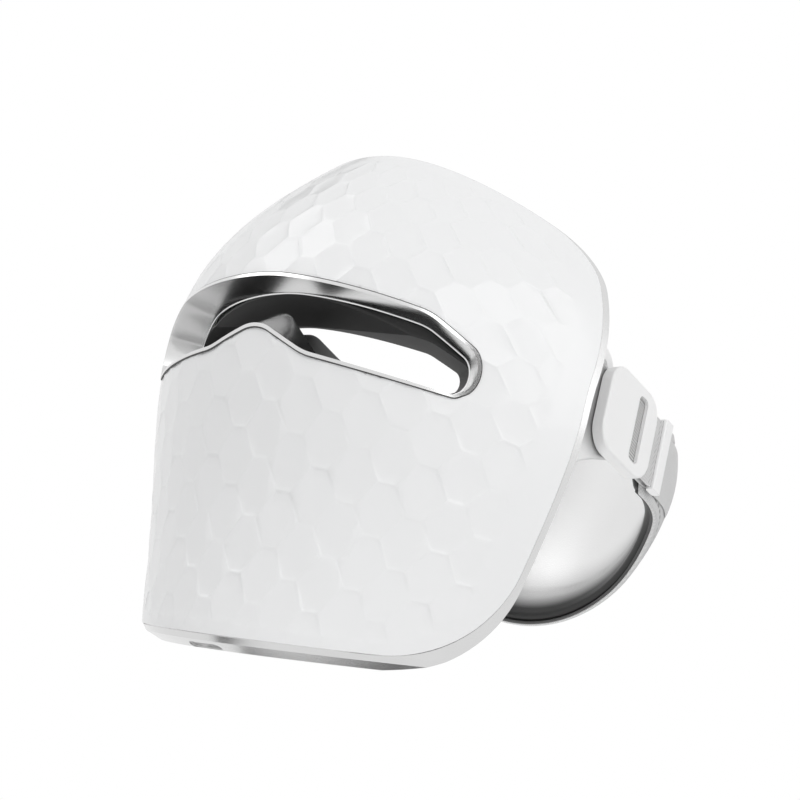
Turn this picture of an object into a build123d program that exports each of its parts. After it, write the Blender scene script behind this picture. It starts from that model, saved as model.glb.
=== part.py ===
"""Light therapy face mask with a rear head cradle, modelled in millimetres.

+Z is up, the mask looks along -Y, and the wearer's left is +X. The origin lies in the
plane of the mask's back edge, midway across, at half the height of the front shell.
"""
from build123d import *
from math import atan2, cos, degrees, pi, radians, sin, tan
import os

# Mask envelope: ellipse sections, wide at the temples, deepest at the mouth
mask_height = 187
section_half_width = 108.6
mask_depth = 70
section_centre_back = 68.6
section_height_shares = (-0.592, -0.365, -0.110, 0.117, 0.343, 0.570)
section_width_shares = (0.678, 0.857, 0.983, 1.0, 0.820, 0.415)
section_front_shares = (0.971, 0.981, 0.976, 0.986, 0.727, 0.094)
section_slope_shares = (1, 1, 1, 1, 1.15, 1.35)

# Edge of the front shell seen from the side: chin front, jaw, temple, brow, far above the crown
edge_depth_shares = (-1.4, -0.091, -0.016, 0.186, -1.4)
edge_height_shares = (-0.503, -0.4535, 0.079, 0.358, 0.849)
jaw_radius = 39
temple_radius = 53
brow_radius = 20

# Eye tunnel, narrowing to a point behind the mask; its outline is drawn on the mask's front plane
# about that point, right half from top middle to bottom middle
tunnel_point_back = 30
tunnel_point_up = 12
slot_half_width = 139
slot_height = 26.2
slot_width_shares = (0, 0.534, 1, 0.703, 0.156)
slot_top_shares = (1, 0.865, -0.02, -0.58, -0.151)
slot_nose_share = 0.23
slot_corner_radii = (150, 42, 13, 13, 24)
slot_nose_radius = 14
slot_end_growth_share = 1.4

# Layers, measured inwards from the outer surface
shell_wall = 2.2
layer_gap = 0.2
body_thickness = 17.5
board_depth = 8
board_wall = 1
board_inset = 3.1
liner_depth = 15.5
liner_wall = 1.8
liner_inset = 3.2
bezel_proud = 0.4
bezel_depth = 13
bezel_wall = 1.4
shield_depth = 29
shield_wall = 1.4
shield_grip = 0.8
shield_width_shares = (0, 0.56, 0.97, 0.69, 0.17)
shield_top_shares = (0.66, 0.55, -0.05, -0.51, -0.05)
shield_nose_share = 0.55
shield_corner_radii = (120, 30, 9, 10, 18)
shield_nose_radius = 12
flange_width = 5
flange_wall = 1.2

# Rim, its edge that shows past the shell, and its lip below the shell at the chin
rim_width = 3
rim_edge = 0.6
rim_back = 1.9
rim_down = 1.6
rim_edge_depth = 4.6
rim_gap = 0.35
rim_groove_depth = 1.2
lip_start_inset = 0.3
lip_bevel_inset = 1.8
lip_bevel_drop = 2.5
lip_inset = 7.8
lip_drop = 5.3

# Light emitters on the board
led_size = 3.2
led_height = 1.4
led_lift = 0.06
led_rows = 9
led_columns = 9
led_fan_centre = 20
led_spread = 66
led_row_spread_share = 0.802
led_edge_margin = 8
led_slot_margin = 7

# Pads that rest on the face
pad_thickness = 5.5
forehead_pad_width = 62
forehead_pad_height = 15
forehead_pad_centre_share = 0.305
cheek_pad_width = 17
cheek_pad_height = 46
cheek_pad_side = 47
cheek_pad_centre_share = -0.214

# Nose saddle behind the slot's hump
saddle_half_width = 21
saddle_foot = 8.2
saddle_rise = 9.5
saddle_rear_radius = 8
saddle_wall = 1.2
saddle_depth = 13

# Power key in the lip
key_length = 13.4
key_width = 4.4
key_travel = 0.8
key_clearance = 0.08
key_recess = 0.8
key_wall = 2
key_flange = 0.7
key_flange_wall = 0.9
key_post_radius = 1.5
key_post_height = 2
key_dish_radius = 26
key_dish_depth = 0.5
surround_width = 0.5
surround_wall = 0.6
switch_length = 6
switch_width = 3.6
switch_height = 2
switch_gap = 0.9
circuit_wall = 1
control_board_length = 22
control_board_width = 7
boss_radius = 1.2
boss_side = 9.6
bay_height = 12

# Charging socket on the underside
socket_side = -26
socket_front_distance = 21
socket_turn = -32
socket_length = 8.94
socket_width = 3.2
socket_wall = 0.35
socket_recess = 0.3
socket_clearance = 0.15
socket_depth = 6.2
tongue_length = 6.7
tongue_wall = 0.7
charge_board_length = 13
charge_board_width = 4.2

# Battery cells, curved to lie on the board
cell_length = 40
cell_width = 26
cell_start_depth = 3.8
cell_gap = 0.2
cell_side = 38
cell_centre_share = -0.246
cell_turn = 31

# Strap plane on the wearer's left: centre of the buckle, downward slope and outward tilt
strap_side = 88
strap_back = 36.5
strap_up = 11.4
strap_slope = 16
strap_tilt = 8

# Buckle, a slide adjuster with one open window
buckle_length = 34.6
buckle_height = 34
buckle_radius = 9
buckle_face = 1.7
buckle_roof = 1.4
buckle_edge_radius = 0.9
buckle_lift = 0.4
window_length = 6.4
window_height = 26
window_front = 2.4
window_radius = 2.2
bar_radius = 0.5
bar_place = 0.6

# Webbing through the buckle: lower layer, turn and tail, each half as thick where they slide past
webbing_width = 27
webbing_wall = 1.2
scarf_gap = 0.04
webbing_gap = 1.1
webbing_clearance = 0.1
webbing_side_clearance = 0.5
turn_end = 16.4
return_end = 21
tongue_start = 6.7
webbing_start = 15.5
webbing_length = 18.5
clip_start = 23.5
clip_length = 5.6
clip_height = 28.6
clip_face = 1.5
clip_under = 0.9
clip_radius = 0.9
clip_grip = 4
clip_fit = 0.03

# Temple ring
ring_front = -32
ring_rear = -6
ring_top = 23.5
ring_bottom = -15
ring_bar = 4
ring_wall = 3.2
ring_radius = 8
ring_face = -6.2
eyelet_radius = 3.6

# Silver tab between the ring and the buckle
tab_face = -3.35
tab_wall = 1.8
tab_top = 14.8
tab_front_high = -27.4
tab_front_low = -21.4
tab_low = -28.6
tab_waist = -12
tab_waist_low = -21
tab_end = 4
tab_end_low = -13.5
rivet_radius = 1.5
rivet_fit = 0.05
rivet_place = -8
rivet_spacing = 18

# Pivot of the ring and the bracket that carries it
pivot_place = -30
pivot_up = 4.25
pivot_depth = -7.8
pin_radius = 1.2
pin_fit = 0.04
pin_head_radius = 2
pin_head_wall = 0.5
ear_wall = 1.6
ear_gap = 0.2
ear_radius = 3.4
ear_relief = 1.2
ear_reach = 12
bracket_half_height = 8
bracket_base = 1.5
bracket_side = 91.5
screw_radius = 1
screw_head_radius = 1.9
screw_head_wall = 1
screw_length = 6
screw_side = 88.2
screw_spacing = 9

# Cradle behind the head
cradle_half_depth = 72
cradle_arm_start = 20
cradle_arm_end = 26
cradle_face = -3.4
cradle_wall = 1.8
cradle_gap = 0.1
cradle_side_height = 29
cradle_side_centre = -2
cradle_top_rise = 5
cradle_rear_drop = 45.5
cradle_bowl = 13
cradle_edge_inset = 1.5
cradle_bulge = 0.3
pad_edge_wall = 2.4
pad_crown_wall = 6.2
cradle_angles = (0, 22, 45, 68, 90)
cradle_drop_power = 1.6

# One overrun serves all cuts
overrun = 1


def skin(depth):
    """Everything behind the mask's outer surface, moved in by depth."""
    sections = []
    for height, width, front, slope in zip(section_height_shares, section_width_shares,
                                           section_front_shares, section_slope_shares):
        half_x = section_half_width * width - depth * slope
        half_y = section_centre_back + mask_depth * front - depth * slope
        arc = EllipticalCenterArc((0, section_centre_back), half_x, half_y, start_angle=180, arc_size=180)
        section = make_face([arc, Line(arc @ 1, arc @ 0)])
        sections.append(Plane.XY.offset(mask_height * height) * section)
    return loft(sections)


def layer(shape, outer_depth, inner_depth):
    """The part of a shape that lies between two depths."""
    return (shape & skin(outer_depth)) - skin(inner_depth)


def side_prism(inset=0, drop=0):
    """Block with the mask's side outline; inset narrows it and drop lowers the chin line."""
    points = [(mask_depth * y, mask_height * z) for y, z in zip(edge_depth_shares, edge_height_shares)]
    points[0] = (points[0][0], points[0][1] - drop)
    points[1] = (points[1][0], points[1][1] - drop)
    radii = [0, jaw_radius, temple_radius, brow_radius, 0]
    outline = make_face(FilletPolyline(*points, radius=radii, close=True))
    if inset:
        outline = offset(outline, -inset)
    return extrude(Plane.YZ * outline, amount=section_half_width, both=True)


def eye_outline(half_width, width_shares, top_shares, nose_share, radii, nose_radius):
    """Outline of an eye opening about the tunnel's point, from its right half."""
    right = [(half_width * width, slot_height * top) for width, top in zip(width_shares, top_shares)]
    left = [(-x, z) for x, z in reversed(right[1:])]
    points = right + [(0, slot_height * nose_share)] + left
    corners = list(radii) + [nose_radius] + list(reversed(radii[1:]))
    return make_face(FilletPolyline(*points, radius=corners, close=True))


def slot_outline(outset=0):
    """Outline of the eye slot, grown by outset and further at its slanting ends."""
    half_width = slot_half_width + slot_end_growth_share * outset
    outline = eye_outline(half_width, slot_width_shares, slot_top_shares, slot_nose_share,
                          slot_corner_radii, slot_nose_radius)
    return offset(outline, outset) if outset else outline


def shield_outline(outset):
    """Outline of the shield's lower rear, grown by outset."""
    half_width = slot_half_width + slot_end_growth_share * outset
    return offset(eye_outline(half_width, shield_width_shares, shield_top_shares, shield_nose_share,
                              shield_corner_radii, shield_nose_radius), outset)


def tunnel_section(outline, back):
    """An eye outline where the tunnel crosses an upright plane, drawn in towards the tunnel's point."""
    share = (tunnel_point_back - back) / (tunnel_point_back + mask_depth)
    return Plane(origin=(0, back, tunnel_point_up), x_dir=(1, 0, 0), z_dir=(0, -1, 0)) * scale(outline, share)


def slot_tunnel(outset=0):
    """The eye slot run through the mask."""
    outline = slot_outline(outset)
    return loft([tunnel_section(outline, back) for back in (-mask_depth - overrun, 0)], ruled=True)


def eye_funnel(outset):
    """The way through the eye shield: the slot's tunnel, then lower from the bezel to the face."""
    slot, shield = slot_outline(outset), shield_outline(outset)
    front, bend, rear = -mask_depth - overrun, bezel_depth - mask_depth, shield_depth - mask_depth
    way = loft([tunnel_section(slot, front), tunnel_section(slot, bend)], ruled=True)
    way += loft([tunnel_section(slot, bend), tunnel_section(shield, rear)], ruled=True)
    return way + loft([tunnel_section(shield, rear), tunnel_section(shield, 0)], ruled=True)


def plate(length, width, height):
    """Box that stands on its plane."""
    return Box(length, width, height, align=(Align.CENTER, Align.CENTER, Align.MIN))


def post(radius, height):
    """Cylinder that stands on its plane."""
    return Cylinder(radius, height, align=(Align.CENTER, Align.CENTER, Align.MIN))


def mirrored(shape):
    """The same piece on the wearer's right."""
    return mirror(shape, about=Plane.YZ)


def chin_angle():
    """Slope of the chin line, rising to the back."""
    (y0, y1), (z0, z1) = edge_depth_shares[:2], edge_height_shares[:2]
    return atan2(mask_height * (z1 - z0), mask_depth * (y1 - y0))


def chin_plane(side, front_distance, drop=0):
    """Plane along the chin line, its normal pointing up into the mask."""
    slope = chin_angle()
    y = front_distance - mask_depth
    z = mask_height * edge_height_shares[0] + (y - mask_depth * edge_depth_shares[0]) * tan(slope)
    up = Vector(0, -sin(slope), cos(slope))
    return Plane(origin=Vector(side, y, z) - up * drop, x_dir=(1, 0, 0), z_dir=up)


def front_shell():
    """White cover with the eye slot cut through."""
    return layer(side_prism() - slot_tunnel(layer_gap), 0, shell_wall)


def saddle_tent(rise, radius, lowering):
    """Cross-section of the nose saddle."""
    foot = saddle_foot - lowering
    peak = tunnel_point_up + slot_height * slot_nose_share + rise - lowering
    points = [(-saddle_half_width, foot), (0, peak), (saddle_half_width, foot)]
    crest = FilletPolyline(*points, radius=radius)
    return make_face([*crest.edges(), Line(crest @ 1, crest @ 0)])


def saddle_loft(lowering):
    """The nose saddle as a solid that rises from the lip towards the face."""
    front = Plane.XZ.offset(mask_depth) * saddle_tent(0, slot_nose_radius, lowering)
    rear = Plane.XZ.offset(mask_depth - saddle_depth) * saddle_tent(saddle_rise, saddle_rear_radius, lowering)
    return loft([front, rear], ruled=True)


def eye_bezel():
    """Chromed ring lining the eye slot, with the nose saddle in its lower edge."""
    ring = layer(slot_tunnel() - slot_tunnel(-bezel_wall), -bezel_proud, bezel_depth)
    saddle = (saddle_loft(0) - saddle_loft(saddle_wall)) & slot_tunnel() & skin(bezel_proud)
    return ring + saddle


def lip_section(drop, inset):
    """Level cut through the skin at the chin line, lowered and moved in."""
    reach = 2 * section_half_width
    cut = chin_plane(0, 0) * Rectangle(reach, reach) & skin(inset)
    return Pos(chin_plane(0, 0).z_dir * -drop) * cut.faces()[0]


def chin_lip():
    """Lip under the shell's chin: a short steep bevel, then a wide shallow strip."""
    top = lip_section(0, lip_start_inset)
    middle = lip_section(lip_bevel_drop, lip_bevel_inset)
    bottom = lip_section(lip_drop, lip_inset)
    return loft([top, middle], ruled=True) + loft([middle, bottom], ruled=True)


def key_plane():
    """Plane on the lip's strip at the power key, its normal pointing into the mask."""
    strip_angle = degrees(atan2(lip_drop - lip_bevel_drop, lip_inset - lip_bevel_inset))
    middle_inset = (lip_inset + lip_bevel_inset) / 2
    middle_drop = (lip_drop + lip_bevel_drop) / 2
    chin_front = mask_depth * (1 - section_front_shares[1])
    return chin_plane(0, middle_inset + chin_front, middle_drop) * Rot(-strip_angle, 0, 0)


def stadium(length, width, bottom, top):
    """Upright prism with round ends between two heights."""
    return Pos(0, 0, bottom) * extrude(SlotOverall(length, width), amount=top - bottom)


def rim_prism(drop=0):
    """Block with the side outline of the rim's edge, thin at the brow and wider down the back."""
    return Pos(0, rim_back, -rim_down) * side_prism(-rim_edge, drop)


def lip_reach():
    """How far the block for the rim's edge is lowered at the chin to meet the lip's back."""
    slope = chin_angle()
    return lip_drop - rim_down * cos(slope) + rim_back * sin(slope) - rim_edge + rim_gap


def rim_edging():
    """The rim's edge behind the shell, cleared for the brackets and ended above the lip."""
    reach = 2 * section_half_width
    below = chin_plane(0, 0) * Box(reach, reach, reach, align=(Align.CENTER, Align.CENTER, Align.MAX))
    edging = layer(rim_prism(lip_reach()) - side_prism() - below, lip_start_inset, rim_edge_depth)
    block = bracket_block(layer_gap)
    return edging - block - mirrored(block)


def rim_body():
    """Ring under the shell, with its edge and the lip, before any seat is cut."""
    outline = side_prism(0, lip_bevel_drop) - side_prism(rim_width)
    ring = layer(outline, shell_wall + layer_gap, body_thickness)
    lip = (chin_lip() - skin(body_thickness)) & rim_prism(lip_reach())
    return ring + rim_edging() + lip - (side_prism(-rim_gap) - skin(rim_groove_depth))


def rim_frame():
    """Silver frame round the back of the shell, with the seats for the key and the socket."""
    frame = rim_body()
    pocket_length = key_length + 2 * (key_flange + key_clearance)
    pocket_width = key_width + 2 * (key_flange + key_clearance)
    hole = stadium(key_length + 2 * key_clearance, key_width + 2 * key_clearance, -overrun, bay_height)
    rebate = stadium(key_length + 2 * surround_width, key_width + 2 * surround_width, -overrun, surround_wall)
    pocket = stadium(pocket_length, pocket_width, key_wall, bay_height)
    frame -= key_plane() * (hole + rebate + pocket)
    board_place = key_plane() * Pos(0, 0, board_height())
    frame -= board_place * plate(control_board_length + 2 * key_clearance,
                                 control_board_width + 2 * key_clearance, bay_height)
    for side in (-boss_side, boss_side):
        boss = Cylinder(boss_radius, board_height(), align=(Align.CENTER, Align.CENTER, Align.MAX))
        frame += board_place * Pos(side, 0, 0) * boss & skin(shell_wall + layer_gap)
    socket_hole = stadium(socket_length + 2 * socket_clearance, socket_width + 2 * socket_clearance,
                          -overrun, lip_drop + rim_width + overrun)
    frame -= socket_place() * socket_hole
    for screw in screw_places():
        hole = screw * Cylinder(screw_radius + pin_fit, 2 * screw_length)
        frame -= hole
        frame -= mirrored(hole)
    return frame


def board_height():
    """Height of the control board's underside over the lip."""
    return key_wall + key_flange_wall + key_post_height + switch_gap + switch_height


def power_key():
    """Dished key with a flange that keeps it in the lip, and a post that meets the switch."""
    cap = stadium(key_length, key_width, key_recess, key_wall + key_clearance)
    flange_base = key_wall + key_clearance / 2
    flange = stadium(key_length + 2 * key_flange, key_width + 2 * key_flange, flange_base,
                     key_wall + key_flange_wall)
    stem = Pos(0, 0, key_wall) * post(key_post_radius, key_flange_wall + key_post_height)
    dish_centre = key_recess + key_dish_depth - key_dish_radius
    dish = Pos(0, 0, dish_centre) * Rot(90, 0, 0) * Cylinder(key_dish_radius, key_width + overrun)
    return key_plane() * (cap + flange + stem - dish)


def key_surround():
    """Thin bright ring let into the lip round the key."""
    outer = stadium(key_length + 2 * surround_width, key_width + 2 * surround_width, 0, surround_wall)
    inner = stadium(key_length + 2 * key_clearance, key_width + 2 * key_clearance, -overrun, bay_height)
    return key_plane() * (outer - inner)


def tact_switch():
    """Switch under the control board, with its plunger over the key's post."""
    body = Pos(0, 0, board_height() - switch_height / 2) * Box(switch_length, switch_width, switch_height)
    return key_plane() * body


def control_board():
    """Small circuit board that stands on the rim's two bosses."""
    board = plate(control_board_length, control_board_width, circuit_wall)
    return key_plane() * Pos(0, 0, board_height()) * board


def socket_place():
    """Location of the charging socket's mouth, its axis pointing up into the mask."""
    return chin_plane(socket_side, socket_front_distance, lip_drop) * Rot(0, 0, socket_turn)


def charging_socket():
    """Socket shell with its tongue, let into the rim from above."""
    top = lip_drop + rim_width
    shell = stadium(socket_length, socket_width, socket_recess, top)
    cavity_length = socket_length - 2 * socket_wall
    cavity_width = socket_width - 2 * socket_wall
    cavity = stadium(cavity_length, cavity_width, -overrun, socket_recess + socket_depth)
    tongue_start = socket_recess + socket_wall
    tongue = Pos(0, 0, tongue_start) * plate(tongue_length, tongue_wall, socket_depth)
    return socket_place() * (shell - cavity + tongue)


def charge_board():
    """Circuit board on the rim's floor, over the socket."""
    board = plate(charge_board_length, charge_board_width, circuit_wall)
    return socket_place() * Pos(0, 0, lip_drop + rim_width) * board


def led_board():
    """Flexible circuit board that follows the shell, cut away round the slot and the key."""
    bay = key_plane() * Box(control_board_length + 2 * led_size, 2 * bay_height, 2 * bay_height)
    outline = side_prism(board_inset) - slot_tunnel(board_inset) - bay
    return layer(outline, board_depth, board_depth + board_wall)


def led_array():
    """Square light emitters in rows, standing on the board's inner face."""
    board_face = skin(board_depth + board_wall)
    places = side_prism(led_edge_margin) - slot_tunnel(led_slot_margin)
    emitter = plate(led_size, led_size, led_height)
    emitters = []
    for row in range(led_rows):
        height = mask_height * led_row_spread_share * (row / (led_rows - 1) - 1 / 2)
        for column in range(led_columns):
            turn = radians(2 * led_spread * (column / (led_columns - 1) - 1 / 2))
            ray = Axis((0, led_fan_centre, height), (sin(turn), -cos(turn), 0))
            point, normal = max(board_face.find_intersection_points(ray), key=lambda hit: -hit[0].Y)
            if places.is_inside(point):
                along = normal.cross(Vector(0, 0, 1))
                seat = Plane(origin=point - normal * led_lift, x_dir=along, z_dir=-normal)
                emitters += (seat * emitter).solids()
    return Compound(emitters)


def inner_liner():
    """Translucent face plate that closes the mask on the wearer's side."""
    plate = side_prism(liner_inset) - eye_funnel(shield_grip + layer_gap)
    return layer(plate, liner_depth, liner_depth + liner_wall)


def eye_shield():
    """Dark soft shield behind the bezel, with a flange trapped under the liner."""
    inner = eye_funnel(shield_grip - shield_wall)
    tube = layer(eye_funnel(shield_grip) - inner, bezel_depth, shield_depth)
    collar = (slot_tunnel(shield_grip + flange_width) - inner) & side_prism(liner_inset)
    return tube + layer(collar, liner_depth - flange_wall, liner_depth)


def face_pad(width, height, side, centre_share):
    """Soft pad on the liner with round corners, its centre a share of the mask's height."""
    outline = RectangleRounded(width, height, min(width, height) / 2 - layer_gap)
    block = extrude(Plane.XZ * Pos(side, mask_height * centre_share) * outline, amount=mask_depth)
    inner = liner_depth + liner_wall
    return layer(block, inner, inner + pad_thickness)


def battery_cell():
    """Flat cell between the shell and the board, curved with them."""
    block = Box(cell_width, 2 * board_depth + mask_depth, cell_length)
    place = Pos(cell_side, -mask_depth + board_depth, mask_height * cell_centre_share) * Rot(0, 0, cell_turn)
    return layer(place * block, cell_start_depth, board_depth - cell_gap)


def strap_plane():
    """Plane of the strap: X runs back along it, Y up across it and Z out from the head."""
    slope, tilt = radians(strap_slope), radians(strap_tilt)
    along = (0, cos(slope), -sin(slope))
    out = (cos(tilt), sin(tilt) * sin(slope), sin(tilt) * cos(slope))
    return Plane(origin=(strap_side, strap_back, strap_up), x_dir=along, z_dir=out)


def strap_box(u_low, u_high, v_low, v_high, w_low, w_high):
    """Block between limits in the strap plane."""
    centre = Pos((u_low + u_high) / 2, (v_low + v_high) / 2, (w_low + w_high) / 2)
    return centre * Box(u_high - u_low, v_high - v_low, w_high - w_low)


def tail_bottom():
    """Level of the tail's lower face in the strap plane."""
    return buckle_face - buckle_roof - webbing_clearance - webbing_wall


def lower_bottom():
    """Level of the lower layer's lower face."""
    return tail_bottom() - webbing_gap - webbing_wall


def buckle_bottom():
    """Level of the buckle's underside, over the cradle's arm."""
    return lower_bottom() + buckle_lift


def turn_centre():
    """Level of the bar that the webbing turns round."""
    return tail_bottom() - webbing_gap / 2


def buckle():
    """White slide adjuster: a rounded plate over a channel, with a window and a hidden bar."""
    plate = extrude(RectangleRounded(buckle_length, buckle_height, buckle_radius),
                    amount=buckle_face - buckle_bottom())
    plate = Pos(0, 0, buckle_bottom()) * plate
    plate = fillet(plate.faces().sort_by(Axis.Z)[-1].edges(), buckle_edge_radius)
    half_channel = webbing_width / 2 + webbing_side_clearance
    channel_front = bar_place - webbing_gap / 2 - webbing_wall - webbing_clearance
    channel = strap_box(channel_front, buckle_length, -half_channel, half_channel,
                        lower_bottom() - overrun, buckle_face - buckle_roof)
    window = RectangleRounded(window_length, window_height, window_radius)
    window = Pos(window_front + window_length / 2, 0) * window
    bar = Pos(bar_place, 0, turn_centre()) * Rot(90, 0, 0) * Cylinder(bar_radius, webbing_width + 2 * overrun)
    return strap_plane() * (plate - channel - extrude(window, amount=buckle_face + overrun) + bar)


def half_wall():
    """Thickness of the webbing where two lengths slide past each other."""
    return (webbing_wall - scarf_gap) / 2


def webbing_strip(start, end, bottom, top):
    """Length of webbing in the strap plane."""
    return strap_box(start, end, -webbing_width / 2, webbing_width / 2, bottom, top)


def webbing_turn():
    """Webbing that turns round the buckle's bar, with the upper halves of both its runs."""
    outer = webbing_gap / 2 + webbing_wall
    ring = Cylinder(outer, webbing_width) - Cylinder(webbing_gap / 2, webbing_width)
    ring = Pos(bar_place, 0, turn_centre()) * Rot(90, 0, 0) * ring
    front_half = strap_box(bar_place - 2 * outer, bar_place, -webbing_width, webbing_width,
                           -webbing_width, webbing_width)
    upper_top = tail_bottom() + webbing_wall
    lower_top = lower_bottom() + webbing_wall
    upper = webbing_strip(bar_place, turn_end, upper_top - half_wall(), upper_top)
    lower = webbing_strip(bar_place, return_end, lower_top - half_wall(), lower_top)
    return strap_plane() * ((ring & front_half) + upper + lower)


def webbing_tail():
    """Free end of the webbing, from under the turn to its end clip."""
    tongue_end = clip_start - overrun
    tongue = webbing_strip(tongue_start, tongue_end, tail_bottom(), tail_bottom() + half_wall())
    end = webbing_strip(tongue_end, clip_start + clip_grip, tail_bottom(), tail_bottom() + webbing_wall)
    return strap_plane() * (tongue + end)


def end_clip():
    """White bar pressed on the tail, too thick to pass the buckle."""
    bar = strap_box(clip_start, clip_start + clip_length, -clip_height / 2, clip_height / 2,
                    tail_bottom() - clip_under, clip_face)
    bar = fillet(bar.edges().filter_by(Axis.Y), clip_radius)
    half_grip = webbing_width / 2 + clip_fit
    grip = strap_box(clip_start - overrun, clip_start + clip_grip + clip_fit, -half_grip, half_grip,
                     tail_bottom() - clip_fit, tail_bottom() + webbing_wall + clip_fit)
    return strap_plane() * (bar - grip)


def webbing():
    """Lower layer of the webbing, on the outside of the cradle's arm."""
    return strap_plane() * webbing_strip(webbing_start, webbing_start + webbing_length, lower_bottom(),
                                         lower_bottom() + half_wall())


def pivot_point():
    """Centre of the ring's pivot."""
    return strap_plane().from_local_coords(Vector(pivot_place, pivot_up, pivot_depth))


def pivot_plane():
    """Plane at the pivot, X back along the strap and Z along the pin."""
    return Plane(origin=pivot_point(), x_dir=strap_plane().x_dir, z_dir=(1, 0, 0))


def temple_ring():
    """White loop that the tab and the buckle hang on, with an eyelet for the pin."""
    length, height = ring_rear - ring_front, ring_top - ring_bottom
    outer = RectangleRounded(length, height, ring_radius)
    inner = RectangleRounded(length - 2 * ring_bar, height - 2 * ring_bar, ring_radius - ring_bar)
    centre = Pos((ring_rear + ring_front) / 2, (ring_top + ring_bottom) / 2, ring_face - ring_wall)
    loop = strap_plane() * centre * extrude(outer - inner, amount=ring_wall)
    relief = post(ear_radius + ear_relief, 2 * ring_wall)
    for direction in (0, 180):
        loop -= pivot_plane() * Rot(0, direction, 0) * Pos(0, 0, ring_wall / 2) * relief
    loop += pivot_plane() * Cylinder(eyelet_radius, ring_wall)
    return loop - pivot_plane() * Cylinder(pin_radius + pin_fit, 2 * ring_wall)


def pivot_pin():
    """Pin through the bracket's ears and the ring's eyelet, with a flat head outside."""
    reach = ring_wall / 2 + ear_gap + ear_wall
    head = Pos(0, 0, reach) * post(pin_head_radius, pin_head_wall)
    return pivot_plane() * (Cylinder(pin_radius, 2 * reach) + head)


def bracket_block(growth=0):
    """Block that holds the bracket's base, grown all round."""
    low_side = pivot_point().X - ring_wall / 2 - ear_gap - ear_wall
    span = bracket_side - low_side
    block = Box(span + 2 * growth, 2 * ear_reach, 2 * (bracket_half_height + growth))
    return Pos(low_side + span / 2, 0, pivot_point().Z) * block


def temple_bracket():
    """Fork screwed to the back of the rim, holding the ring's pin."""
    reach = ring_wall / 2 + ear_gap + ear_wall
    base = bracket_block() & (side_prism(-bracket_base) - side_prism(0, lip_bevel_drop))
    ear_outline = Circle(ear_radius) + Pos(-ear_reach / 2, 0) * Rectangle(ear_reach, 2 * ear_radius)
    ear = extrude(ear_outline, amount=ear_wall)
    ears = Pos(0, 0, ring_wall / 2 + ear_gap) * ear + Pos(0, 0, -reach) * ear
    fork = base + (pivot_plane() * ears - side_prism(0, lip_bevel_drop))
    fork -= pivot_plane() * Cylinder(pin_radius + pin_fit, 2 * reach + overrun)
    seat = Pos(0, 0, bracket_base) * post(screw_head_radius + pin_fit, screw_head_wall)
    for place in screw_places():
        fork -= place * (Cylinder(screw_radius + pin_fit, 2 * screw_length) + seat)
    return fork


def screw_places():
    """The bracket's screws, axes square to the mask's back edge."""
    (y0, y1), (z0, z1) = edge_depth_shares[2:4], edge_height_shares[2:4]
    rise, run = mask_height * (z1 - z0), mask_depth * (y1 - y0)
    lean = atan2(run, rise)
    places = []
    for step in (-screw_spacing / 2, screw_spacing / 2):
        z = pivot_point().Z + step
        y = mask_depth * y0 + (z - mask_height * z0) * tan(lean)
        normal = (0, cos(lean), -sin(lean))
        places.append(Plane(origin=(screw_side, y, z), x_dir=(1, 0, 0), z_dir=normal).location)
    return places


def bracket_screws():
    """Screws that fix both brackets to the rim, as one group."""
    shank = Pos(0, 0, bracket_base - screw_length) * post(screw_radius, screw_length)
    head = Pos(0, 0, bracket_base) * post(screw_head_radius, screw_head_wall)
    screws = [place * (shank + head) for place in screw_places()]
    return Compound([s for screw in screws for s in (*screw.solids(), *mirrored(screw).solids())])


def strap_tab():
    """Silver tab over the ring, flared at the mask and riveted under the buckle."""
    front_high, front_low = (tab_front_high, tab_top), (tab_front_low, tab_low)
    end_low, end_high = (tab_end, tab_end_low), (tab_end, tab_top)
    flare = ThreePointArc(front_low, (tab_waist, tab_waist_low), end_low)
    front, end, top = Line(front_high, front_low), Line(end_low, end_high), Line(end_high, front_high)
    outline = make_face([front, flare, end, top])
    tab = Pos(0, 0, tab_face - tab_wall) * extrude(outline, amount=tab_wall)
    for v in rivet_heights():
        tab -= Pos(rivet_place, v, tab_face) * Cylinder(rivet_radius + rivet_fit, 2 * tab_wall + overrun)
    return strap_plane() * tab


def rivet_heights():
    """Places of the two rivets across the strap, centred on the ring's rear bar."""
    middle = (tab_top + tab_end_low) / 2
    return (middle - rivet_spacing / 2, middle + rivet_spacing / 2)


def tab_rivets():
    """Rivets that join buckle, tab and ring."""
    rivets = []
    for v in rivet_heights():
        length = buckle_bottom() - ring_face
        rivet = Pos(rivet_place, v, ring_face) * post(rivet_radius, length)
        rivets.append(strap_plane() * rivet)
    return Compound([s for rivet in rivets for s in rivet.solids()])


def cradle_stations():
    """Side, depth, outward angle, turn share, middle height and height along the left half."""
    plane = strap_plane()
    side = plane.from_local_coords(Vector(cradle_arm_end, cradle_side_centre, cradle_face)).X
    stations = []
    for place in (cradle_arm_start, cradle_arm_end):
        point = plane.from_local_coords(Vector(place, cradle_side_centre, cradle_face))
        stations.append((side, point.Y, 0, point.Z, cradle_side_height))
    end = stations[-1]
    for angle in cradle_angles[1:]:
        turn = radians(angle)
        x, y = end[0] * cos(turn), end[1] + cradle_half_depth * sin(turn)
        facing = atan2(end[0] * sin(turn), cradle_half_depth * cos(turn))
        rise = cradle_top_rise * sin(turn)
        drop = cradle_rear_drop * sin(turn) ** cradle_drop_power
        stations.append((x, y, facing, end[3] + (rise - drop) / 2, cradle_side_height + rise + drop))
    return stations


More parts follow.
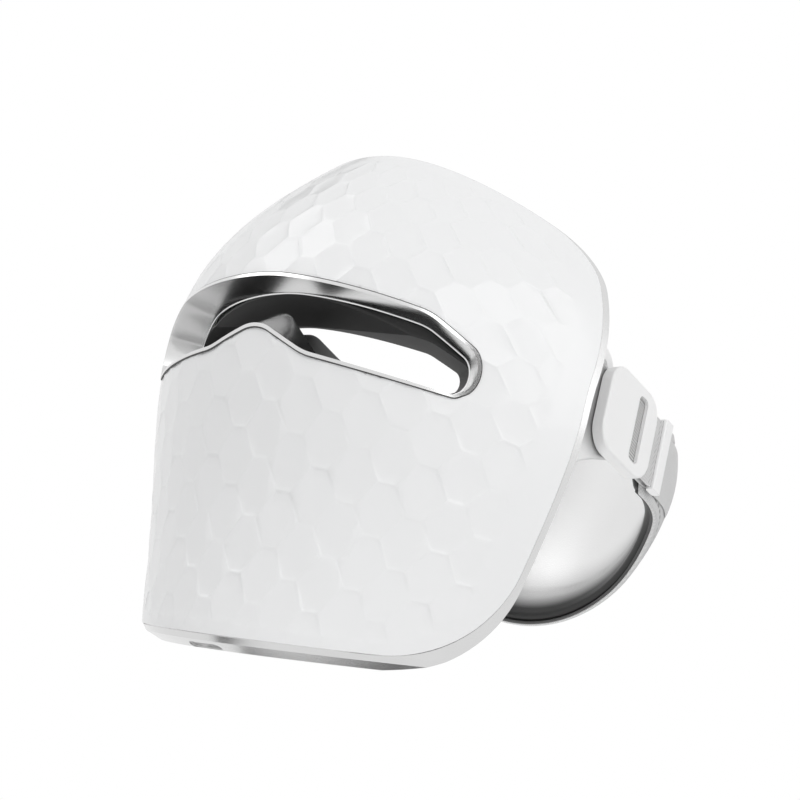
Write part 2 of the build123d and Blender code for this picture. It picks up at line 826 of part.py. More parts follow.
def cradle_section(station, outer, inner_edge, inner_middle):
    """Cross-section of the cradle at one station: walls measured in from its outer face."""
    x, y, facing, middle, height = station
    lean = tan(radians(strap_tilt)) * cos(facing) ** 2

    def edge(level, end):
        curl = cradle_edge_inset if end > 0 else cradle_edge_inset + cradle_bowl
        return (-level - cradle_bulge - curl * sin(facing) - lean * end * height / 2, end * height / 2)

    outside = ThreePointArc(edge(outer, 1), (-outer, 0), edge(outer, -1))
    inside = ThreePointArc(edge(inner_edge, -1), (-inner_middle, 0), edge(inner_edge, 1))
    face = make_face([outside, Line(outside @ 1, inside @ 0), inside, Line(inside @ 1, outside @ 0)])
    outward, along = (cos(facing), sin(facing), 0), (sin(facing), -cos(facing), 0)
    return Plane(origin=(x, y, middle), x_dir=outward, z_dir=along) * face


def cradle_band(outer, inner_edge, inner_middle):
    """Band lofted round the back of the head, from the left arm to the right."""
    left = cradle_stations()
    right = [(-x, y, pi - facing, middle, height) for x, y, facing, middle, height in reversed(left[:-1])]
    return loft([cradle_section(s, outer, inner_edge, inner_middle) for s in left + right])


def cradle_shell():
    """Outer wall of the cradle."""
    return cradle_band(0, cradle_wall, cradle_wall)


def cradle_pad():
    """Silver cushion inside the cradle, thickest along its middle."""
    base = cradle_wall + cradle_gap
    return cradle_band(base, base + pad_edge_wall, base + pad_crown_wall)


def build():
    """Every node by name."""
    nodes = {
        "front_shell": front_shell(),
        "eye_bezel": eye_bezel(),
        "rim_frame": rim_frame(),
        "led_board": led_board(),
        "led_array": led_array(),
        "inner_liner": inner_liner(),
        "eye_shield": eye_shield(),
        "forehead_pad": face_pad(forehead_pad_width, forehead_pad_height, 0, forehead_pad_centre_share),
        "power_key": power_key(),
        "key_surround": key_surround(),
        "tact_switch": tact_switch(),
        "control_board": control_board(),
        "charging_socket": charging_socket(),
        "charge_board": charge_board(),
        "bracket_screws": bracket_screws(),
        "cradle_shell": cradle_shell(),
        "cradle_pad": cradle_pad(),
    }
    pairs = {
        "cheek_pad": face_pad(cheek_pad_width, cheek_pad_height, cheek_pad_side,
                              cheek_pad_centre_share),
        "battery_cell": battery_cell(),
        "temple_bracket": temple_bracket(),
        "pivot_pin": pivot_pin(),
        "temple_ring": temple_ring(),
        "strap_tab": strap_tab(),
        "tab_rivets": tab_rivets(),
        "buckle": buckle(),
        "webbing_turn": webbing_turn(),
        "webbing_tail": webbing_tail(),
        "end_clip": end_clip(),
        "webbing": webbing(),
    }
    for name, shape in pairs.items():
        nodes[name + "_left"] = shape
        nodes[name + "_right"] = mirrored(shape)
    return nodes


def main():
    os.makedirs("parts", exist_ok=True)
    for name, shape in build().items():
        export_step(shape, f"parts/{name}.step")


if __name__ == "__main__":
    main()
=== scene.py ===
"""Light therapy face mask with a strap and a rear head cradle, dressed for a studio picture."""
import math

import bmesh
import bpy
import numpy as np
from mathutils import Matrix, Vector
from mathutils.bvhtree import BVHTree


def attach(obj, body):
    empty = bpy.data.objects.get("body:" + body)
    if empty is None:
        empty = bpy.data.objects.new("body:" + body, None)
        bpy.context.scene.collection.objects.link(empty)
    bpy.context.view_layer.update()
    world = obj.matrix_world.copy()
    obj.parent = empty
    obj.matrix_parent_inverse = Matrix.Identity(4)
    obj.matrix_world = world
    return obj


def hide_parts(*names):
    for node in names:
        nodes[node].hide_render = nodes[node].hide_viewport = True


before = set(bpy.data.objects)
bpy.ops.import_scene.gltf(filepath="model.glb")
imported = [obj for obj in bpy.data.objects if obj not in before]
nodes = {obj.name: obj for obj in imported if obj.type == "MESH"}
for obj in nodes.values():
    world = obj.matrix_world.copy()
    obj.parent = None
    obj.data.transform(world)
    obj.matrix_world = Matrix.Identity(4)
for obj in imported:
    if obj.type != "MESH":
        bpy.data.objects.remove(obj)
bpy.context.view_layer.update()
mm = 0.001


# Node groups and materials

WEAVE_CENTRE = 61.5 * mm
GRAIN_DETAIL, MOTTLE_DETAIL = 3, 2


def group(name, inputs, outputs):
    """An empty shader node group with float inputs {name: default} and outputs {name: socket type}."""
    tree = bpy.data.node_groups.new(name, "ShaderNodeTree")
    for label, value in inputs.items():
        socket = tree.interface.new_socket(label, in_out="INPUT", socket_type="NodeSocketFloat")
        socket.default_value = value
    for label, kind in outputs.items():
        tree.interface.new_socket(label, in_out="OUTPUT", socket_type=kind)
    return tree, tree.nodes.new("NodeGroupInput"), tree.nodes.new("NodeGroupOutput")


def maths(tree, operation, *values):
    """Output of a maths node fed with sockets or plain numbers."""
    node = tree.nodes.new("ShaderNodeMath")
    node.operation = operation
    for socket, value in zip(node.inputs, values):
        if isinstance(value, (int, float)):
            socket.default_value = value
        else:
            tree.links.new(value, socket)
    return node.outputs[0]


def colour_blend(tree, factor, first, second):
    """A colour between the first and the second by a factor socket; the first may be a socket too."""
    mix = tree.nodes.new("ShaderNodeMix")
    mix.data_type = "RGBA"
    tree.links.new(factor, mix.inputs["Factor"])
    if isinstance(first, tuple):
        mix.inputs["A"].default_value = (*first, 1)
    else:
        tree.links.new(first, mix.inputs["A"])
    mix.inputs["B"].default_value = (*second, 1)
    return mix.outputs["Result"]


def grain_group():
    """Fine moulded or leather grain: a height and a slow mottling mask."""
    tree, source, sink = group("fine_grain", {"Grain size": 900, "Mottle size": 30},
                               {"Height": "NodeSocketFloat", "Mottle": "NodeSocketFloat"})
    place = tree.nodes.new("ShaderNodeTexCoord")
    grain = tree.nodes.new("ShaderNodeTexNoise")
    grain.inputs["Detail"].default_value = GRAIN_DETAIL
    mottle = tree.nodes.new("ShaderNodeTexNoise")
    mottle.inputs["Detail"].default_value = MOTTLE_DETAIL
    for node, label in ((grain, "Grain size"), (mottle, "Mottle size")):
        tree.links.new(place.outputs["Object"], node.inputs["Vector"])
        tree.links.new(source.outputs[label], node.inputs["Scale"])
    tree.links.new(grain.outputs["Fac"], sink.inputs["Height"])
    tree.links.new(mottle.outputs["Fac"], sink.inputs["Mottle"])
    return tree


def weave_group():
    """Plain weave wrapped round the cradle: threads up its height and round its bend."""
    tree, source, sink = group("round_weave", {"Threads round": 480, "Threads up": 1000},
                               {"Height": "NodeSocketFloat", "Shade": "NodeSocketFloat"})
    place = tree.nodes.new("ShaderNodeTexCoord")
    centre = tree.nodes.new("ShaderNodeMapping")
    centre.inputs["Location"].default_value = (0, -WEAVE_CENTRE, 0)
    turn = tree.nodes.new("ShaderNodeTexGradient")
    turn.gradient_type = "RADIAL"
    split = tree.nodes.new("ShaderNodeSeparateXYZ")
    tree.links.new(place.outputs["Object"], centre.inputs["Vector"])
    tree.links.new(centre.outputs["Vector"], turn.inputs["Vector"])
    tree.links.new(place.outputs["Object"], split.inputs["Vector"])
    waves = []
    for value, label in ((turn.outputs["Fac"], "Threads round"), (split.outputs["Z"], "Threads up")):
        threads = maths(tree, "MULTIPLY", value, source.outputs[label])
        waves.append(maths(tree, "SINE", maths(tree, "MULTIPLY", threads, 2 * math.pi)))
    level = maths(tree, "MULTIPLY_ADD", maths(tree, "MULTIPLY", *waves), 0.5, 0.5)
    for label in ("Height", "Shade"):
        tree.links.new(level, sink.inputs[label])
    return tree


GRAIN = grain_group()
WEAVE = weave_group()


def finish(name, colour, second, roughness, metallic=0.0, coat=0.0, coat_roughness=0.1, pattern=GRAIN,
           sizes=(900, 30), bump=0.0, bump_depth=0.05 * mm, rough_swing=0.06, shaded=None, clear=0.0):
    """A Principled material whose colour and roughness wander with a pattern group, with its bump.

    The sizes are the group's own two values. A shaded colour takes over where the piece's own shade mask is
    high: painted shade on the cushion, the tabs and the webbing, stitch thread on the cover. Clear is the
    share of light that passes through.
    """
    material = bpy.data.materials.new(name)
    material.use_nodes = True
    tree = material.node_tree
    shader = tree.nodes["Principled BSDF"]
    shader.inputs["Metallic"].default_value = metallic
    shader.inputs["Coat Weight"].default_value = coat
    shader.inputs["Coat Roughness"].default_value = coat_roughness
    shader.inputs["Transmission Weight"].default_value = clear
    surface = tree.nodes.new("ShaderNodeGroup")
    surface.node_tree = pattern
    surface.inputs[0].default_value, surface.inputs[1].default_value = sizes
    mottle = surface.outputs[1]
    colour_out = colour_blend(tree, mottle, colour, second)
    # Painted shade from the piece's shade mask, and stitch thread on the cover.
    if shaded:
        mask = tree.nodes.new("ShaderNodeAttribute")
        mask.attribute_name = "shade"
        colour_out = colour_blend(tree, mask.outputs["Fac"], colour_out, shaded)
    tree.links.new(colour_out, shader.inputs["Base Color"])
    swing = tree.nodes.new("ShaderNodeMapRange")
    swing.inputs["To Min"].default_value = roughness - rough_swing / 2
    swing.inputs["To Max"].default_value = roughness + rough_swing / 2
    tree.links.new(mottle, swing.inputs["Value"])
    tree.links.new(swing.outputs["Result"], shader.inputs["Roughness"])
    if bump:
        relief = tree.nodes.new("ShaderNodeBump")
        relief.inputs["Strength"].default_value = bump
        relief.inputs["Distance"].default_value = bump_depth
        tree.links.new(surface.outputs["Height"], relief.inputs["Height"])
        tree.links.new(relief.outputs["Normal"], shader.inputs["Normal"])
    return material


def grey(level, tint=0.0):
    """A neutral colour, slightly blue for a positive tint."""
    return (level - tint, level, level + tint)


LOOKS = {
    "shell_white": dict(colour=grey(0.86, 0.004), second=grey(0.88, 0.004), roughness=0.34, coat=0.35,
                        coat_roughness=0.13, sizes=(2500, 18), bump=0.03),
    "white_satin": dict(colour=grey(0.85), second=grey(0.88), roughness=0.4, sizes=(2200, 40), bump=0.06),
    "chrome": dict(colour=grey(0.66), second=grey(0.74), roughness=0.19, metallic=1.0, sizes=(1500, 25),
                   rough_swing=0.04),
    # The bead's metal is the chrome made brighter: a real rounded rim, partly painted highlight.
    "bead_highlight": dict(colour=grey(0.86), second=grey(0.92), roughness=0.3, metallic=1.0,
                        sizes=(1500, 25)),
    "frame_silver": dict(colour=grey(0.66), second=grey(0.72), roughness=0.2, metallic=1.0,
                         sizes=(3000, 60), bump=0.05),
    "shield_rubber": dict(colour=grey(0.02), second=grey(0.032), roughness=0.55, sizes=(2500, 60),
                          bump=0.1),
    # silver_soft's shaded colour is painted shade and dark reflection along the cushion's lower rim.
    "silver_soft": dict(colour=grey(0.95), second=grey(0.98), roughness=0.34, metallic=0.5,
                        sizes=(1900, 35), bump=0.35, bump_depth=0.12 * mm, rough_swing=0.1,
                        shaded=grey(0.03)),
    # tab_soft's shaded colour is painted shadow beside the buckle.
    "tab_soft": dict(colour=grey(0.76), second=grey(0.82), roughness=0.42, metallic=0.6,
                     sizes=(2600, 50), bump=0.25, shaded=grey(0.12)),
    # webbing_grey's shaded colour is painted shade in the rib grooves, and darkens the back by a fixed
    # share.
    "webbing_grey": dict(colour=grey(0.66), second=grey(0.74), roughness=0.75, sizes=(2600, 60),
                         bump=0.5, bump_depth=0.1 * mm, shaded=grey(0.09)),
    "woven_cover": dict(colour=grey(0.56), second=grey(0.70), roughness=0.7, pattern=WEAVE,
                        sizes=(340, 700), bump=0.6, bump_depth=0.15 * mm, shaded=grey(0.22)),
    "piping_dark": dict(colour=grey(0.05), second=grey(0.09), roughness=0.6, sizes=(1500, 60), bump=0.2),
    "pad_silicone": dict(colour=grey(0.55), second=grey(0.60), roughness=0.5, sizes=(1800, 40), bump=0.1),
    "liner_clear": dict(colour=grey(0.86), second=grey(0.9), roughness=0.2, sizes=(2000, 30), clear=0.85),
    "board_white": dict(colour=(0.55, 0.56, 0.53), second=(0.62, 0.63, 0.6), roughness=0.5,
                        sizes=(1200, 200)),
    "emitter": dict(colour=(0.75, 0.62, 0.2), second=(0.85, 0.72, 0.3), roughness=0.2, coat=0.8,
                    sizes=(2000, 500)),
    "cell_foil": dict(colour=grey(0.32), second=grey(0.4), roughness=0.35, metallic=0.8,
                      sizes=(700, 80), bump=0.2),
    "steel": dict(colour=grey(0.5), second=grey(0.58), roughness=0.25, metallic=1.0, sizes=(2000, 200)),
}
FINISHES = {name: finish(name, **values) for name, values in LOOKS.items()}


def dress(obj, name):
    """Gives an object one finish all over."""
    obj.data.materials.clear()
    obj.data.materials.append(FINISHES[name])


CARRIED = {
    "eye_bezel": "chrome", "rim_frame": "frame_silver", "led_board": "board_white", "led_array": "emitter",
    "inner_liner": "liner_clear", "eye_shield": "shield_rubber", "tact_switch": "piping_dark",
    "control_board": "board_white", "charging_socket": "steel", "charge_board": "board_white",
    "key_surround": "chrome", "bracket_screws": "steel", "power_key": "chrome",
}
CARRIED_PAIRS = {
    "battery_cell": "cell_foil", "temple_bracket": "frame_silver", "pivot_pin": "steel",
    "temple_ring": "white_satin", "tab_rivets": "steel", "buckle": "white_satin", "end_clip": "white_satin",
}


def dress_carried():
    """Finishes for the nodes whose shape is right as it is."""
    for name, look in CARRIED.items():
        dress(nodes[name], look)
    for name, look in CARRIED_PAIRS.items():
        for side in ("left", "right"):
            dress(nodes[f"{name}_{side}"], look)


# Mesh helpers

POINT_WELD = 0.001 * mm


def smooth_shading(mesh):
    """Shades a mesh smoothly all over."""
    mesh.polygons.foreach_set("use_smooth", [True] * len(mesh.polygons))


def settle(obj):
    """Keeps what the object's modifiers make of its mesh, shaded smoothly."""
    graph = bpy.context.evaluated_depsgraph_get()
    result = bpy.data.meshes.new_from_object(obj.evaluated_get(graph))
    obj.modifiers.clear()
    obj.data = result
    smooth_shading(result)


def new_object(name, vertices, faces, look, body):
    """A mesh object in the row frame, dressed and riding on a body."""
    mesh = bpy.data.meshes.new(name)
    mesh.from_pydata([tuple(v) for v in vertices], [], faces)
    mesh.update()
    obj = bpy.data.objects.new(name, mesh)
    bpy.context.collection.objects.link(obj)
    smooth_shading(mesh)
    dress(obj, look)
    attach(obj, body)
    return obj


def recalculate(obj):
    """Turns all faces outwards."""
    shape = bmesh.new()
    shape.from_mesh(obj.data)
    bmesh.ops.remove_doubles(shape, verts=shape.verts, dist=POINT_WELD)
    bmesh.ops.recalc_face_normals(shape, faces=shape.faces)
    shape.to_mesh(obj.data)
    shape.free()


def wall_faces(rows, columns):
    """Quads of a closed wall: rows of vertices, each a ring, numbered row by row."""
    faces = []
    for r in range(rows - 1):
        low, high = r * columns, (r + 1) * columns
        for c in range(columns):
            d = (c + 1) % columns
            faces.append((low + c, low + d, high + d, high + c))
    return faces


def tube_block(rings, look, name, body, shades=None):
    """A closed solid from rings of equal count, capped at both ends, with a shade per point if given."""
    count = len(rings[0])
    vertices = [v for ring in rings for v in ring]
    faces = wall_faces(len(rings), count)
    faces.append(tuple(range(count)))
    faces.append(tuple((len(rings) - 1) * count + i for i in reversed(range(count))))
    obj = new_object(name, vertices, faces, look, body)
    if shades:
        mask = obj.data.attributes.new("shade", "FLOAT", "POINT")
        mask.data.foreach_set("value", [value for ring in shades for value in ring])
    recalculate(obj)
    return obj


# Faceted front shell

SECTION_CENTRE = 68.6 * mm
COLUMN_TURN = math.radians(6.1)
COLUMNS = 13
ROW_START = -18.8 * mm
ROW_HEIGHT = 20.15 * mm
BROW_ROW = 1
BROW_ROW_HEIGHT = 17.4 * mm
SPREAD_HEIGHT = -62 * mm
SPREAD_SHARE = 0.236
FLAT_SHARE = 0.25
FACET_SINK = 0.1 * mm
FACET_TILT = math.radians(1.8)
FACET_DISH = 0.06 * mm
FACET_RINGS = (1, 0.95, 0.85, 0.6, 0.32)
FACET_SOFT_POWER = 14
MARGIN_LIFT = 0.3 * mm
BLOCK_BACK = 20 * mm
FACET_WELD = 0.02 * mm
HEX_PARTS = 5
SHARP_ANGLE = math.radians(24)
SKIN_HEIGHTS = (-91, -88, -82, -74, -62, -50, -38, -26, -14, -4, 44, 54, 64, 74, 84, 89, 92)
SKIN_TURNS = (-42, -24, -10, 0, 10, 24, 42)
RAY_START, RAY_LENGTH, FEWEST_HITS = 300 * mm, 260 * mm, 3
PROFILE_REACH = 130
EDGE_HEIGHTS, BOTTOM_PLACES, EDGE_REACH = range(-88, 93, 4), range(-88, 89, 4), 4 * mm
ROW_NUMBERS, ROW_REACH = range(-5, 12), 112 * mm
TILT_SEEDS = ((12.9898, 78.233, 43758.5453), (39.346, 11.135, 24634.6345))
MARGIN_SMOOTH = 7 * mm
MARGIN_FADE = 11 * mm
BOTTOM_SMOOTH = 1.5 * mm
BOTTOM_FADE = 5 * mm


def natural_spline(xs, ys):
    """A natural cubic spline through points, as a function."""
    n = len(xs)
    h = np.diff(xs)
    a = np.eye(n)
    b = np.zeros(n)
    for i in range(1, n - 1):
        a[i, i - 1:i + 2] = h[i - 1], 2 * (h[i - 1] + h[i]), h[i]
        b[i] = 6 * ((ys[i + 1] - ys[i]) / h[i] - (ys[i] - ys[i - 1]) / h[i - 1])
    m = np.linalg.solve(a, b)

    def value(x):
        i = int(np.clip(np.searchsorted(xs, x) - 1, 0, n - 2))
        left, right = x - xs[i], xs[i + 1] - x
        return ((m[i] * right ** 3 + m[i + 1] * left ** 3) / (6 * h[i])
                + (ys[i] / h[i] - m[i] * h[i] / 6) * right + (ys[i + 1] / h[i] - m[i + 1] * h[i] / 6) * left)
    return value


def read_skin():
    """Half width and half depth of the shell's ellipses by height, read off the frame's shell."""
    tree = BVHTree.FromPolygons([v.co for v in nodes["front_shell"].data.vertices],
                                [p.vertices for p in nodes["front_shell"].data.polygons])
    heights, widths, depths = [], [], []
    for z in SKIN_HEIGHTS:
        rows = []
        for turn in SKIN_TURNS:
            ray = Vector((math.sin(math.radians(turn)), -math.cos(math.radians(turn)), 0))
            start = Vector((0, SECTION_CENTRE, z * mm)) + ray * RAY_START
            hit = tree.ray_cast(start, -ray)[0]
            if hit is not None and (hit - start).length < RAY_LENGTH:
                rows.append((hit.x ** 2, (hit.y - SECTION_CENTRE) ** 2))
        if len(rows) < FEWEST_HITS:
            continue
        squares = np.array(rows)
        solution = np.linalg.lstsq(squares, np.ones(len(rows)), rcond=None)[0]
        heights.append(z * mm)
        widths.append(1 / math.sqrt(solution[0]))
        depths.append(1 / math.sqrt(solution[1]))
    return natural_spline(heights, widths), natural_spline(heights, depths)


half_width, half_depth = read_skin()


def skin_point(turn, z):
    """The outer surface at an ellipse angle from the middle and a height."""
    return Vector((half_width(z) * math.sin(turn), SECTION_CENTRE - half_depth(z) * math.cos(turn), z))


PROFILE_HEIGHTS = np.arange(-PROFILE_REACH, PROFILE_REACH + 1) * mm
PROFILE_DEPTHS = np.array([half_depth(z) for z in PROFILE_HEIGHTS])
PROFILE_STEPS = np.hypot(np.diff(PROFILE_HEIGHTS), np.diff(PROFILE_DEPTHS))
PROFILE_LENGTHS = np.concatenate(([0], np.cumsum(PROFILE_STEPS)))
PROFILE_LENGTHS -= np.interp(0, PROFILE_HEIGHTS, PROFILE_LENGTHS)


def cell_point(column, row):
    """The outer surface at a place in the honeycomb, whose rows close up over the brow and to the sides."""
    turn = COLUMN_TURN * column
    along = ROW_START + ROW_HEIGHT * min(row, BROW_ROW) + BROW_ROW_HEIGHT * max(row - BROW_ROW, 0)
    along = SPREAD_HEIGHT + (along - SPREAD_HEIGHT) * (1 - SPREAD_SHARE * turn ** 2)
    return skin_point(turn, float(np.interp(along, PROFILE_LENGTHS, PROFILE_HEIGHTS)))


def read_edge():
    """The back edge's depth by height, from the shell's rearmost vertices."""
    points = np.array([v.co for v in nodes["front_shell"].data.vertices])
    heights = np.array(EDGE_HEIGHTS) * mm
    depths = [points[np.abs(points[:, 2] - z) < EDGE_REACH][:, 1].max() for z in heights]
    return lambda z: float(np.interp(z, heights, depths))


def read_bottom():
    """The lower edge's height by width, from the shell's lowest vertices."""
    points = np.array([v.co for v in nodes["front_shell"].data.vertices])
    places = np.array(BOTTOM_PLACES) * mm
    heights = [points[np.abs(points[:, 0] - x) < EDGE_REACH][:, 2].min() for x in places]
    return lambda x: float(np.interp(x, places, heights))


edge_line = read_edge()
bottom_line = read_bottom()


def hexagon_centres():
    """Middles of the hexagons as (column, number, row): every other column lies half a step up."""
    for column in range(-COLUMNS, COLUMNS + 1):
        for number in ROW_NUMBERS:
            row = number + 0.5 * ((column + 1) % 2)
            if abs(cell_point(column, row).z) < ROW_REACH:
                yield column, number, row


def tilt_of(column, number):
    """A small fixed tilt for each facet, different from its neighbours'."""
    tilts = []
    for by_column, by_number, stretch in TILT_SEEDS:
        value = math.sin(column * by_column + number * by_number) * stretch
        tilts.append((value - math.floor(value) - 0.5) * 2)
    return tilts


def fade_at(place):
    """How strongly the facets show: not at all near the shell's edge, fully away from it."""
    behind = edge_line(place.z) - place.y
    above = place.z - bottom_line(place.x)
    fade = min(1.0, max(0.0, (behind - MARGIN_SMOOTH) / MARGIN_FADE))
    fade = min(fade, max(0.0, (above - BOTTOM_SMOOTH) / BOTTOM_FADE))
    return fade * fade * (3 - 2 * fade)


def facet_block():
    """A solid behind the faceted surface, deeper than the shell, to cut the shell's outer face with."""
    shape = bmesh.new()
    side_reach, flat_reach = 1 - FLAT_SHARE, FLAT_SHARE
    outline = ((side_reach, 0), (flat_reach, 0.5), (-flat_reach, 0.5),
               (-side_reach, 0), (-flat_reach, -0.5), (flat_reach, -0.5))
    wheel = []
    for k in range(6):
        a, b = outline[k], outline[(k + 1) % 6]
        for i in range(HEX_PARTS):
            share = i / HEX_PARTS
            wheel.append((a[0] + (b[0] - a[0]) * share, a[1] + (b[1] - a[1]) * share))
    for column, number, row in hexagon_centres():
        middle = cell_point(column, row)
        outer = [cell_point(column + c, row + r) for c, r in outline]
        normal = Vector((0, 0, 0))
        for k in range(6):
            normal += (outer[k] - middle).cross(outer[(k + 1) % 6] - middle)
        normal.normalize()
        if normal.y > 0:
            normal.negate()
        base = sum(outer, Vector()) / 6
        side = normal.cross(Vector((0, 0, 1))).normalized()
        up = side.cross(normal)
        tilt = tilt_of(column, number)
        plane_normal = (normal + side * tilt[0] * FACET_TILT + up * tilt[1] * FACET_TILT).normalized()

        def lay(across, along, share):
            """A point of this cell, in the facet's shallow dish or on the smooth skin near the edge."""
            smooth = cell_point(column + across * share, row + along * share)
            flat = smooth - normal * ((smooth - base).dot(plane_normal) / normal.dot(plane_normal))
            flat -= plane_normal * FACET_DISH * (1 - share ** 2)
            flat = flat.lerp(smooth, share ** FACET_SOFT_POWER)
            fade = fade_at(smooth)
            return smooth.lerp(flat, fade) + Vector((0, FACET_SINK * fade - MARGIN_LIFT * (1 - fade), 0))

        previous = None
        for share in FACET_RINGS:
            ring = [shape.verts.new(lay(across, along, share)) for across, along in wheel]
            if previous:
                for i in range(len(ring)):
                    j = (i + 1) % len(ring)
                    shape.faces.new((previous[i], previous[j], ring[j], ring[i]))
            previous = ring
        hub = shape.verts.new(lay(0, 0, 0))
        for i in range(len(previous)):
            shape.faces.new((previous[i], previous[(i + 1) % len(previous)], hub))
    bmesh.ops.remove_doubles(shape, verts=shape.verts, dist=FACET_WELD)
    return shape


def close_block(shape):
    """Gives the faceted sheet a back and sides, so that it is a solid."""
    front = list(shape.verts)
    back = {v: shape.verts.new(v.co + Vector((0, BLOCK_BACK, 0))) for v in front}
    border = [(e.verts[0], e.verts[1]) for e in shape.edges if len(e.link_faces) == 1]
    for face in list(shape.faces):
        shape.faces.new([back[v] for v in reversed(face.verts)])
    for a, b in border:
        shape.faces.new((a, b, back[b], back[a]))
    bmesh.ops.recalc_face_normals(shape, faces=shape.faces)


def faceted_shell():
    """The front shell with its outer face cut into tilted hexagonal facets."""
    cutter = bpy.data.objects.new("facet_cutter", bpy.data.meshes.new("facet_cutter"))
    shape = facet_block()
    close_block(shape)
    shape.to_mesh(cutter.data)
    shape.free()
    shell = bpy.data.objects.new("faceted_shell", nodes["front_shell"].data.copy())
    for obj in (cutter, shell):
        bpy.context.collection.objects.link(obj)
    recalculate(shell)
    cut = shell.modifiers.new("facets", "BOOLEAN")
    cut.operation = "INTERSECT"
    cut.solver = "EXACT"
    cut.object = cutter
    settle(shell)
    bpy.data.objects.remove(cutter)
    shell.data.set_sharp_from_angle(angle=SHARP_ANGLE)
    dress(shell, "shell_white")
    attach(shell, "mask")
    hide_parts("front_shell")


# Dark cord of painted shadow and bright bead, partly painted highlight, round the eye slot

# Radii of the dark cord of painted shadow round the slot and of the bright bead.
SHADOW_CORD_RADIUS = 0.27 * mm
BEAD_RADIUS = 0.34 * mm
CORD_ROUNDNESS = 2
FOLD_ANGLE = math.radians(40)
SLOT_HEIGHT, SLOT_REACH, SLOT_ROUND = 14 * mm, 40 * mm, 200 * mm


def folded_loops(node):
    """Closed loops of points along the sharp edges of a node."""
    shape = bmesh.new()
    shape.from_mesh(nodes[node].data)
    bmesh.ops.remove_doubles(shape, verts=shape.verts, dist=POINT_WELD)
    sharp = {e for e in shape.edges if len(e.link_faces) == 2 and e.calc_face_angle() > FOLD_ANGLE}
    loops = []
    while sharp:
        edge = min(sharp, key=lambda e: e.index)
        sharp.discard(edge)
        chain = [edge.verts[0], edge.verts[1]]
        while True:
            onward = [e for e in chain[-1].link_edges if e in sharp]
            if not onward:
                break
            sharp.discard(onward[0])
            chain.append(onward[0].other_vert(chain[-1]))
            if chain[-1] == chain[0]:
                loops.append([v.co.copy() for v in chain[:-1]])
                break
    shape.free()
    return loops


def loop_length(loop):
    """Length round a closed loop."""
    return sum((loop[i] - loop[i - 1]).length for i in range(len(loop)))


def thin_cord_round(loop, radius, name, look):
    """A thin closed cord along a loop, riding on the mask."""
    curve = bpy.data.curves.new(name, "CURVE")
    curve.dimensions = "3D"
    curve.bevel_depth = radius
    curve.bevel_resolution = CORD_ROUNDNESS
    spline = curve.splines.new("POLY")
    spline.points.add(len(loop) - 1)
    for point, place in zip(spline.points, loop):
        point.co = (*place, 1)
    spline.use_cyclic_u = True
    obj = bpy.data.objects.new(name, curve)
    bpy.context.collection.objects.link(obj)
    dress(obj, look)
    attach(obj, "mask")


def slot_trim():
    """Dark cord of painted shadow in the gap between shell and bezel, and a rounded bead at the bezel's
    inner end whose metal, brighter than the chrome, is partly painted highlight.
    """
    around_slot = [loop for loop in folded_loops("front_shell") if loop_length(loop) > SLOT_ROUND
                   and max(abs(p.z - SLOT_HEIGHT) for p in loop) < SLOT_REACH]
    front = min(around_slot, key=lambda loop: sum(p.y for p in loop) / len(loop))
    # A dark cord standing in for the shadow in the gap between shell and bezel: painted shadow.
    thin_cord_round(front, SHADOW_CORD_RADIUS, "slot_shadow_cord", "piping_dark")
    in_bezel = [loop for loop in folded_loops("eye_bezel") if loop_length(loop) > SLOT_ROUND]
    inner = min(in_bezel, key=loop_length)
    # A rounded bead in metal brighter than the chrome: partly painted highlight.
    thin_cord_round(inner, BEAD_RADIUS, "bezel_bead", "bead_highlight")


# Strap: its plane on the wearer's left, and what is laid in it

STRAP_ORIGIN = Vector((88, 36.5, 11.4)) * mm
STRAP_SLOPE, STRAP_TILT = math.radians(16), math.radians(8)
STRAP_ALONG = Vector((0, math.cos(STRAP_SLOPE), -math.sin(STRAP_SLOPE)))
STRAP_OUT = Vector((math.cos(STRAP_TILT), math.sin(STRAP_TILT) * math.sin(STRAP_SLOPE),
                    math.sin(STRAP_TILT) * math.cos(STRAP_SLOPE)))
STRAP_ACROSS = STRAP_OUT.cross(STRAP_ALONG)
WEBBING_WIDTH = 27 * mm
WEBBING_WALL = 1.2 * mm
SLIDING_WALL = 0.58 * mm
UPPER_TOP = 0.2 * mm
LOWER_TOP = -2.1 * mm
LOWER_BOTTOM = -3.3 * mm
TURN_PLACE, TURN_LEVEL, TURN_RADIUS = 0.6 * mm, -1.55 * mm, 1.15 * mm
TURN_START, TURN_BEND, TURN_UPPER, TURN_END = 21 * mm, 3.4 * mm, 0.65 * mm, 16.4 * mm
TURN_STEP, BEND_ANGLES = 1 * mm, range(-90, 91, 15)
TAIL_START, TAIL_STEP, TAIL_END = 6.7 * mm, 22.5 * mm, 27.4 * mm
TAIL_RAMP = 0.05 * mm
RIB_DEPTH = 0.2 * mm
RIB_STEP = 0.25 * mm
TURN_SLANT, TURN_PITCH = math.radians(6), 1.15 * mm
# TAIL_RIB_SHADE scales the painted shade in the tails' rib grooves.
TAIL_SLANT, TAIL_PITCH, TAIL_RIB_SHADE = math.radians(-71), 0.8 * mm, 0.4
SELVEDGE = 0.45 * mm
SELVEDGE_SHARE = 0.35
BACK_SHARES = (1, 0.97, 0.4, -0.4, -0.97, -1)
BACK_SHADE = 0.3


def quarter_round(share):
    """Height of a quarter circle of radius 1 at a share of the way in from its foot."""
    return math.sqrt(max(0.0, 1 - (1 - share) ** 2))


def bell(place, middle, width):
    """A smooth bump of height 1, for stitched lines and grooves."""
    return math.exp(-((place - middle) / width) ** 2)


def strap_point(along, across, out):
    """A point over the left strap's plane."""
    return STRAP_ORIGIN + STRAP_ALONG * along + STRAP_ACROSS * across + STRAP_OUT * out


